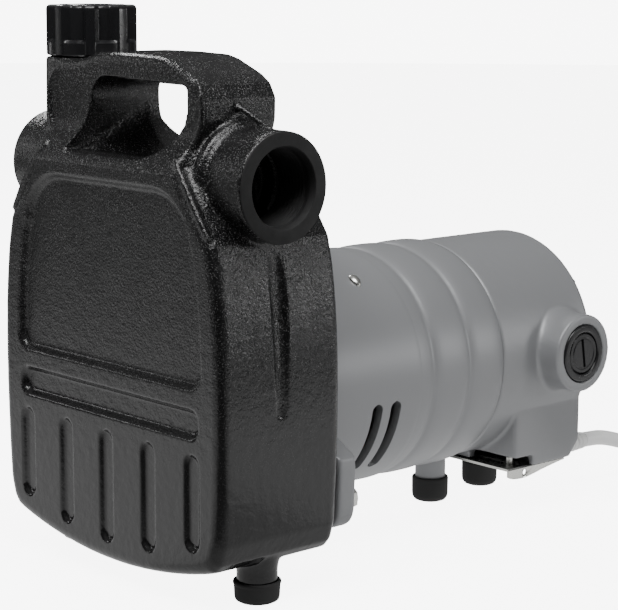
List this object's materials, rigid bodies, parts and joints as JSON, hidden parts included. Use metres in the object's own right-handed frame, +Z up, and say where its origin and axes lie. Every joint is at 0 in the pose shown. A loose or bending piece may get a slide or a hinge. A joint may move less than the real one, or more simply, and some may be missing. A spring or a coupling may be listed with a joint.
{
  "type": "shallow well jet pump",
  "caption": "Portable cast-iron jet pump with carrying handle, priming cap, side ports and a grey brush-type motor with a power cord.",
  "frame": {"origin": "on the floor, under the middle of the pump without its cord", "axes": "+Z up, +Y from the casing's front face along the shaft to the motor's rear, +X to the side of the open threaded port that faces the viewer"},
  "size_m": [0.258, 0.4609, 0.2693],
  "materials": {
    "cast_iron_black": "glossy black enamel over sand-cast iron",
    "cap_plastic": "glossy black moulded plastic",
    "grey_enamel": "satin grey enamel with faint orange peel",
    "rubber": "matt black rubber",
    "zinc_steel": "bright zinc plate",
    "steel": "ground steel",
    "copper": "bare and enamelled copper",
    "brass": "machined brass",
    "cream_plastic": "moulded cream plastic",
    "carbon": "pressed carbon",
    "ceramic": "polished ceramic",
    "gasket_paper": "pressed fibre gasket",
    "cord_jacket": "light grey flexible vinyl"
  },
  "bodies": {
    "housing": {"pump_casing": "cast_iron_black", "brush_holder_left": "cap_plastic", "brush_holder_right": "cap_plastic", "motor_adapter": "grey_enamel", "motor_shell": "grey_enamel", "end_bell": "grey_enamel", "terminal_cover": "grey_enamel", "motor_leg_front": "grey_enamel", "motor_leg_rear": "grey_enamel", "casing_foot_left": "rubber", "casing_foot_right": "rubber", "motor_foot_front": "rubber", "motor_foot_rear": "rubber", "casing_bolt_upper_left": "zinc_steel", "casing_bolt_upper_right": "zinc_steel", "casing_bolt_lower_left": "zinc_steel", "casing_bolt_lower_right": "zinc_steel", "through_bolt_left": "zinc_steel", "through_bolt_right": "zinc_steel", "cover_screw_1": "zinc_steel", "cover_screw_2": "zinc_steel", "front_bearing": "steel", "rear_bearing": "steel", "field_core": "steel", "field_coil_lower": "copper", "field_coil_upper": "copper", "check_valve_seat": "brass", "jet_nozzle": "brass", "diffuser": "cream_plastic", "venturi_tube": "cream_plastic", "seal_seat": "ceramic", "casing_gasket": "gasket_paper", "cord_strain_relief": "cord_jacket", "power_cord": "cord_jacket", "cord_coil": "cord_jacket", "cord_plug": "cord_jacket"},
    "rotor": {"motor_shaft": "steel", "impeller": "cream_plastic", "impeller_nut": "brass", "seal_head": "carbon", "seal_spring": "steel", "water_slinger": "rubber", "armature_core": "steel", "armature_winding_front": "copper", "armature_winding_rear": "copper", "commutator": "copper", "cooling_fan": "cap_plastic"},
    "cap_ring": {"cap_seal": "rubber"},
    "cap": {"priming_cap": "cap_plastic"},
    "flap": {"check_valve_flap": "rubber"},
    "brush_left": {"carbon_brush_left": "carbon"},
    "brush_right": {"carbon_brush_right": "carbon"},
    "spring_left": {"brush_spring_left": "steel"},
    "spring_right": {"brush_spring_right": "steel"},
    "screw_cap_left": {"brush_cap_left": "cap_plastic"},
    "screw_cap_right": {"brush_cap_right": "cap_plastic"}
  },
  "joints": [
    {"name": "rotor_spin", "type": "hinge", "parent": "housing", "child": "rotor", "pos_m": [0, 0.03825, 0.085], "axis": [0, 1, 0], "continuous": true},
    {"name": "cap_turn", "type": "hinge", "parent": "cap_ring", "child": "cap", "pos_m": [-0.0542, -0.10725, 0.25], "axis": [0, 0, 1], "range_deg": [0, 1440]},
    {"name": "cap_rise", "type": "slide", "parent": "housing", "child": "cap_ring", "axis": [0, 0, 1], "range_m": [0, 0.012]},
    {"name": "flap_swing", "type": "hinge", "parent": "housing", "child": "flap", "pos_m": [-0.0564, -0.10725, 0.2045], "axis": [0, -1, 0], "range_deg": [0, 50]},
    {"name": "brush_slide_left", "type": "slide", "parent": "housing", "child": "brush_left", "axis": [-1, 0, 0], "range_m": [0, 0.004], "stiffness_N_per_m": 100, "springref_m": -0.02, "deforming": ["brush_spring_left"]},
    {"name": "brush_cap_turn_left", "type": "hinge", "parent": "spring_left", "child": "screw_cap_left", "pos_m": [-0.065, 0.11475, 0.0871], "axis": [-1, 0, 0], "range_deg": [0, 1440]},
    {"name": "brush_cap_out_left", "type": "slide", "parent": "housing", "child": "spring_left", "axis": [-1, 0, 0], "range_m": [0, 0.006]},
    {"name": "brush_slide_right", "type": "slide", "parent": "housing", "child": "brush_right", "axis": [1, 0, 0], "range_m": [0, 0.004], "stiffness_N_per_m": 100, "springref_m": -0.02, "deforming": ["brush_spring_right"]},
    {"name": "brush_cap_turn_right", "type": "hinge", "parent": "spring_right", "child": "screw_cap_right", "pos_m": [0.065, 0.11475, 0.0871], "axis": [1, 0, 0], "range_deg": [0, 1440]},
    {"name": "brush_cap_out_right", "type": "slide", "parent": "housing", "child": "spring_right", "axis": [1, 0, 0], "range_m": [0, 0.006]}
  ],
  "couplings": [
    {"joint": "cap_turn", "follows": "cap_rise", "rad_per_m": 2094.4},
    {"joint": "brush_cap_turn_left", "follows": "brush_cap_out_left", "rad_per_m": 4188.8},
    {"joint": "brush_cap_turn_right", "follows": "brush_cap_out_right", "rad_per_m": 4188.8}
  ]
}
